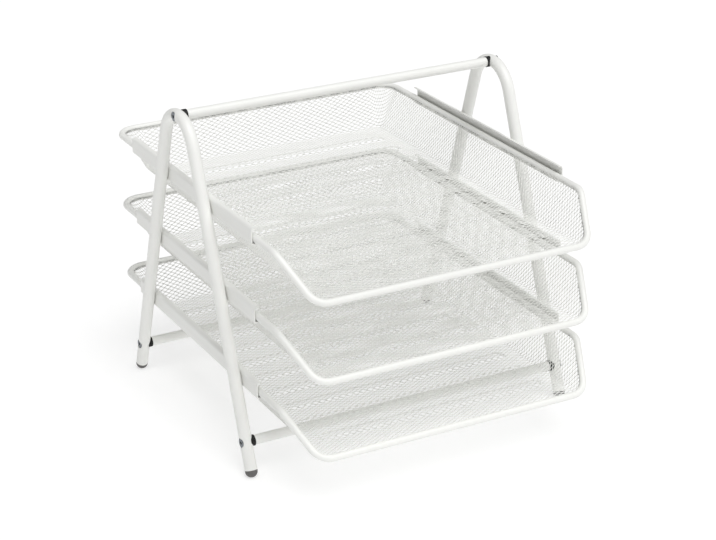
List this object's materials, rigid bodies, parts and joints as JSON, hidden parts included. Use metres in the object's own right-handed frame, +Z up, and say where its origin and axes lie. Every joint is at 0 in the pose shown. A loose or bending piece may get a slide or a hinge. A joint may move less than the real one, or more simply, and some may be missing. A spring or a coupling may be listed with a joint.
{
  "type": "stack of document trays",
  "caption": "Desk organizer with sliding expanded-metal document trays hung one above the other on rails between two bent-tube side frames.",
  "frame": {"origin": "on the surface that the feet stand on, under the middle of the trays", "axes": "+Z up, -Y the front that the trays slide out of, +X to the right seen from the front"},
  "size_m": [0.2926, 0.356, 0.2672],
  "materials": {
    "white_coat": "satin white powder coat on steel",
    "white_mesh": "satin white powder coat on expanded steel mesh",
    "bright_zinc": "bright zinc-plated steel",
    "black_plastic": "matt black moulded plastic",
    "grey_rubber": "matt grey rubber"
  },
  "bodies": {
    "stand": {"left_side_frame": "white_coat", "right_side_frame": "white_coat", "front_left_foot": "grey_rubber", "front_right_foot": "grey_rubber", "rear_left_foot": "grey_rubber", "rear_right_foot": "grey_rubber", "top_crossbar": "white_coat", "front_crossbar": "white_coat", "rear_crossbar": "white_coat", "top_left_insert": "bright_zinc", "top_right_insert": "bright_zinc", "front_left_insert": "bright_zinc", "front_right_insert": "bright_zinc", "rear_left_insert": "bright_zinc", "rear_right_insert": "bright_zinc", "top_left_spacer": "black_plastic", "top_right_spacer": "black_plastic", "front_left_spacer": "black_plastic", "front_right_spacer": "black_plastic", "rear_left_spacer": "black_plastic", "rear_right_spacer": "black_plastic", "top_left_bolt": "bright_zinc", "top_right_bolt": "bright_zinc", "front_left_bolt": "bright_zinc", "front_right_bolt": "bright_zinc", "rear_left_bolt": "bright_zinc", "rear_right_bolt": "bright_zinc", "top_left_rail": "white_coat", "top_right_rail": "white_coat", "middle_left_rail": "white_coat", "middle_right_rail": "white_coat", "bottom_left_rail": "white_coat", "bottom_right_rail": "white_coat"},
    "top_tray": {"top_tray_pan": "white_mesh", "top_tray_rim": "white_coat"},
    "middle_tray": {"middle_tray_pan": "white_mesh", "middle_tray_rim": "white_coat"},
    "bottom_tray": {"bottom_tray_pan": "white_mesh", "bottom_tray_rim": "white_coat"}
  },
  "joints": [
    {"name": "top_tray_slide", "type": "slide", "parent": "stand", "child": "top_tray", "axis": [0, -1, 0], "range_m": [-0.025, 0.18]},
    {"name": "middle_tray_slide", "type": "slide", "parent": "stand", "child": "middle_tray", "axis": [0, -1, 0], "range_m": [-0.025, 0.18]},
    {"name": "bottom_tray_slide", "type": "slide", "parent": "stand", "child": "bottom_tray", "axis": [0, -1, 0], "range_m": [-0.025, 0.18]}
  ]
}
